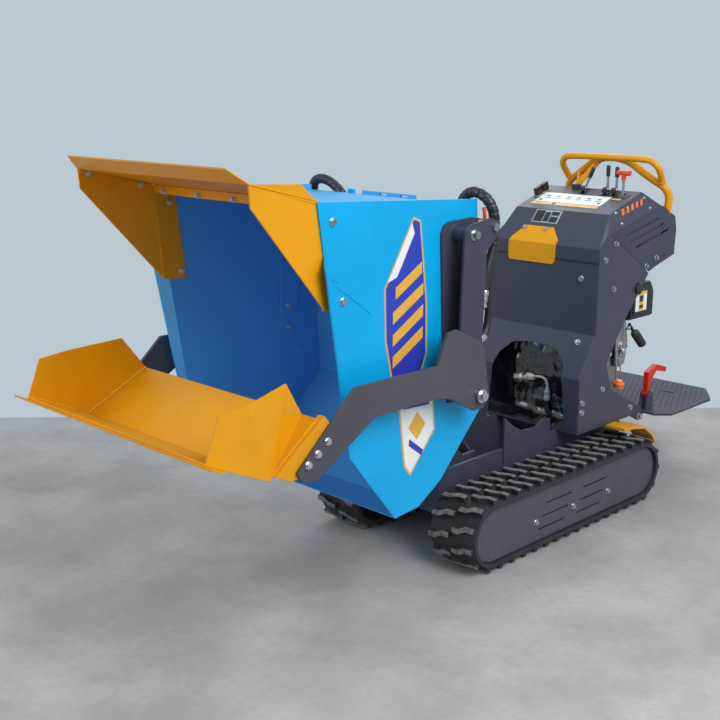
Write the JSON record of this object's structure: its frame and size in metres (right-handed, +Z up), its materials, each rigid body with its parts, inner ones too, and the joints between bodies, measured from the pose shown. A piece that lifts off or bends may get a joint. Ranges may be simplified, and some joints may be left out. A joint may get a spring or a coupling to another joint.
{
  "type": "tracked power carrier",
  "caption": "Walk-behind tracked carrier on rubber tracks with a tipping skip, a hydraulic self-loading shovel on arms, an engine under a leaning console and a rear standing platform.",
  "frame": {"origin": "on the ground under the middle of the machine's length and width, skip tipped and shovel raised", "axes": "+Z up, +Y from the shovel towards the operator's platform, +X the operator's left"},
  "size_m": [0.88, 2.6644, 1.2969],
  "materials": {
    "yellow_paint": "satin powder coat",
    "dark_grey_paint": "satin powder coat",
    "warm_grey_paint": "satin powder coat",
    "blue_paint": "satin powder coat",
    "black_rubber": "matt",
    "black_plastic": "fine grain",
    "black_paint": "satin",
    "zinc_steel": "bright zinc plate",
    "cast_aluminium": "as cast",
    "red_plastic": "moulded",
    "red_paint": "satin powder coat",
    "white_plate": "printed sheet, left plain"
  },
  "bodies": {
    "chassis": {"chassis_frame": "dark_grey_paint", "track_frames": "dark_grey_paint", "track_belt_left": "black_rubber", "track_belt_right": "black_rubber", "track_covers": "warm_grey_paint", "drive_motors": "black_paint", "track_fenders": "yellow_paint", "chassis_pins": "zinc_steel", "chassis_bolts": "zinc_steel", "console_sides": "dark_grey_paint", "front_panel": "dark_grey_paint", "hood": "dark_grey_paint", "engine_cover": "dark_grey_paint", "catch_plate": "yellow_paint", "control_plate": "white_plate", "handlebar": "yellow_paint", "engine_block": "cast_aluminium", "fuel_tank": "black_plastic", "air_filter": "black_plastic", "muffler": "black_paint", "recoil_cover": "black_plastic", "oil_tank": "black_paint", "hydraulic_pump": "cast_aluminium", "control_valve": "dark_grey_paint", "pump_hoses": "black_rubber"},
    "skip": {"skip": "blue_paint", "guard_top": "yellow_paint", "guard_sides": "yellow_paint", "cylinder_brackets": "dark_grey_paint", "skip_pins": "zinc_steel", "skip_hoses": "black_rubber", "skip_bolts": "zinc_steel"},
    "shovel": {"shovel_bucket": "yellow_paint", "cutting_edge": "yellow_paint", "shovel_arms": "warm_grey_paint", "shovel_bolts": "zinc_steel"},
    "sprocket_left_body": {"sprocket_left": "dark_grey_paint"},
    "sprocket_right_body": {"sprocket_right": "dark_grey_paint"},
    "idler_left_body": {"idler_left": "black_paint"},
    "idler_right_body": {"idler_right": "black_paint"},
    "roller_front_left_body": {"roller_front_left": "black_paint"},
    "roller_rear_left_body": {"roller_rear_left": "black_paint"},
    "roller_front_right_body": {"roller_front_right": "black_paint"},
    "roller_rear_right_body": {"roller_rear_right": "black_paint"},
    "platform_body": {"platform": "dark_grey_paint"},
    "platform_latch_body": {"platform_latch": "red_paint"},
    "travel_lever_left_body": {"travel_lever_left": "black_plastic"},
    "travel_lever_right_body": {"travel_lever_right": "black_plastic"},
    "skip_lever_body": {"skip_lever": "black_plastic"},
    "shovel_lever_body": {"shovel_lever": "red_plastic"},
    "throttle_knob_body": {"throttle_knob": "black_plastic"},
    "choke_knob_body": {"choke_knob": "black_plastic"},
    "fuel_cap_body": {"fuel_cap": "black_plastic"},
    "recoil_handle_body": {"recoil_handle": "black_plastic"},
    "shovel_ram_barrel_left_body": {"shovel_ram_barrel_left": "yellow_paint"},
    "shovel_ram_rod_left_body": {"shovel_ram_rod_left": "zinc_steel"},
    "shovel_ram_barrel_right_body": {"shovel_ram_barrel_right": "yellow_paint"},
    "shovel_ram_rod_right_body": {"shovel_ram_rod_right": "zinc_steel"},
    "tip_ram_barrel_body": {"tip_ram_barrel": "black_paint"},
    "tip_ram_rod_body": {"tip_ram_rod": "zinc_steel"}
  },
  "joints": [
    {"name": "skip_tip", "type": "hinge", "parent": "chassis", "child": "skip", "pos_m": [0, -0.27379, 0.5], "axis": [-1, 0, 0], "range_deg": [0, 93.4]},
    {"name": "shovel_lift", "type": "hinge", "parent": "skip", "child": "shovel", "pos_m": [0, -0.37379, 0.628], "axis": [1, 0, 0], "range_deg": [0, 95]},
    {"name": "tip_ram_swing", "type": "hinge", "parent": "chassis", "child": "tip_ram_barrel_body", "pos_m": [0, 0.11621, 0.2], "axis": [1, 0, 0], "range_deg": [0, 6.64]},
    {"name": "tip_ram_stroke", "type": "slide", "parent": "tip_ram_barrel_body", "child": "tip_ram_rod_body", "axis": [0, -0.6455, 0.7637], "range_m": [-0.1769, 0]},
    {"name": "shovel_ram_swing_left", "type": "hinge", "parent": "skip", "child": "shovel_ram_barrel_left_body", "pos_m": [0.373, -0.31079, 1.096], "axis": [1, 0, 0], "range_deg": [0, 1.59]},
    {"name": "shovel_ram_stroke_left", "type": "slide", "parent": "shovel_ram_barrel_left_body", "child": "shovel_ram_rod_left_body", "axis": [0, -0.2436, -0.9699], "range_m": [0, 0.1047]},
    {"name": "idler_spin_left", "type": "hinge", "parent": "chassis", "child": "idler_left_body", "pos_m": [0.255, -0.17579, 0.121], "axis": [1, 0, 0], "continuous": true},
    {"name": "sprocket_spin_left", "type": "hinge", "parent": "chassis", "child": "sprocket_left_body", "pos_m": [0.255, 0.67221, 0.121], "axis": [1, 0, 0], "continuous": true},
    {"name": "roller_spin_front_left", "type": "hinge", "parent": "chassis", "child": "roller_front_left_body", "pos_m": [0.255, 0.05821, 0.0655], "axis": [1, 0, 0], "continuous": true},
    {"name": "roller_spin_rear_left", "type": "hinge", "parent": "chassis", "child": "roller_rear_left_body", "pos_m": [0.255, 0.43821, 0.0655], "axis": [1, 0, 0], "continuous": true},
    {"name": "shovel_ram_swing_right", "type": "hinge", "parent": "skip", "child": "shovel_ram_barrel_right_body", "pos_m": [-0.373, -0.31079, 1.096], "axis": [1, 0, 0], "range_deg": [0, 1.59]},
    {"name": "shovel_ram_stroke_right", "type": "slide", "parent": "shovel_ram_barrel_right_body", "child": "shovel_ram_rod_right_body", "axis": [0, -0.2436, -0.9699], "range_m": [0, 0.1047]},
    {"name": "idler_spin_right", "type": "hinge", "parent": "chassis", "child": "idler_right_body", "pos_m": [-0.255, -0.17579, 0.121], "axis": [1, 0, 0], "continuous": true},
    {"name": "sprocket_spin_right", "type": "hinge", "parent": "chassis", "child": "sprocket_right_body", "pos_m": [-0.255, 0.67221, 0.121], "axis": [1, 0, 0], "continuous": true},
    {"name": "roller_spin_front_right", "type": "hinge", "parent": "chassis", "child": "roller_front_right_body", "pos_m": [-0.255, 0.05821, 0.0655], "axis": [1, 0, 0], "continuous": true},
    {"name": "roller_spin_rear_right", "type": "hinge", "parent": "chassis", "child": "roller_rear_right_body", "pos_m": [-0.255, 0.43821, 0.0655], "axis": [1, 0, 0], "continuous": true},
    {"name": "platform_fold", "type": "hinge", "parent": "chassis", "child": "platform_body", "pos_m": [0, 0.85221, 0.266], "axis": [1, 0, 0], "range_deg": [0, 55]},
    {"name": "latch_lift", "type": "hinge", "parent": "platform_body", "child": "platform_latch_body", "pos_m": [0.205, 0.90021, 0.342], "axis": [1, 0, 0], "range_deg": [0, 20]},
    {"name": "travel_lever_left_tilt", "type": "hinge", "parent": "chassis", "child": "travel_lever_left_body", "pos_m": [0.112, 0.76307, 1.05633], "axis": [1, 0, 0], "range_deg": [-12, 12], "stiffness_Nm_per_rad": 4},
    {"name": "travel_lever_right_tilt", "type": "hinge", "parent": "chassis", "child": "travel_lever_right_body", "pos_m": [0.075, 0.76307, 1.05633], "axis": [1, 0, 0], "range_deg": [-12, 12], "stiffness_Nm_per_rad": 4},
    {"name": "skip_lever_tilt", "type": "hinge", "parent": "chassis", "child": "skip_lever_body", "pos_m": [-0.02, 0.76307, 1.05633], "axis": [1, 0, 0], "range_deg": [-12, 12], "stiffness_Nm_per_rad": 4},
    {"name": "shovel_lever_tilt", "type": "hinge", "parent": "chassis", "child": "shovel_lever_body", "pos_m": [0.15, 0.74713, 1.05096], "axis": [1, 0, 0], "range_deg": [-12, 12], "stiffness_Nm_per_rad": 4},
    {"name": "throttle_knob_turn", "type": "hinge", "parent": "chassis", "child": "throttle_knob_body", "pos_m": [-0.185, 0.7034, 1.08055], "axis": [0, -0.3191, 0.9477], "range_deg": [0, 90]},
    {"name": "choke_knob_turn", "type": "hinge", "parent": "chassis", "child": "choke_knob_body", "pos_m": [-0.185, 0.74131, 1.09332], "axis": [0, -0.3191, 0.9477], "range_deg": [0, 90]},
    {"name": "fuel_cap_turn", "type": "hinge", "parent": "chassis", "child": "fuel_cap_body", "pos_m": [-0.04, 0.72621, 0.8005], "axis": [0, 0, 1], "range_deg": [0, 90]},
    {"name": "recoil_pull", "type": "slide", "parent": "chassis", "child": "recoil_handle_body", "axis": [-1, 0, 0], "range_m": [0, 0.25], "stiffness_N_per_m": 60}
  ],
  "couplings": [
    {"joint": "tip_ram_swing", "follows": "skip_tip", "ratio": 0.067919},
    {"joint": "tip_ram_stroke", "follows": "skip_tip", "m_per_rad": -0.10727},
    {"joint": "shovel_ram_swing_left", "follows": "shovel_lift", "ratio": 0.013602},
    {"joint": "shovel_ram_stroke_left", "follows": "shovel_lift", "m_per_rad": 0.061921},
    {"joint": "sprocket_spin_left", "follows": "idler_spin_left", "ratio": 1},
    {"joint": "roller_spin_front_left", "follows": "idler_spin_left", "ratio": 2.6324},
    {"joint": "roller_spin_rear_left", "follows": "idler_spin_left", "ratio": 2.6324},
    {"joint": "shovel_ram_swing_right", "follows": "shovel_lift", "ratio": 0.013602},
    {"joint": "shovel_ram_stroke_right", "follows": "shovel_lift", "m_per_rad": 0.061921},
    {"joint": "sprocket_spin_right", "follows": "idler_spin_right", "ratio": 1},
    {"joint": "roller_spin_front_right", "follows": "idler_spin_right", "ratio": 2.6324},
    {"joint": "roller_spin_rear_right", "follows": "idler_spin_right", "ratio": 2.6324}
  ]
}
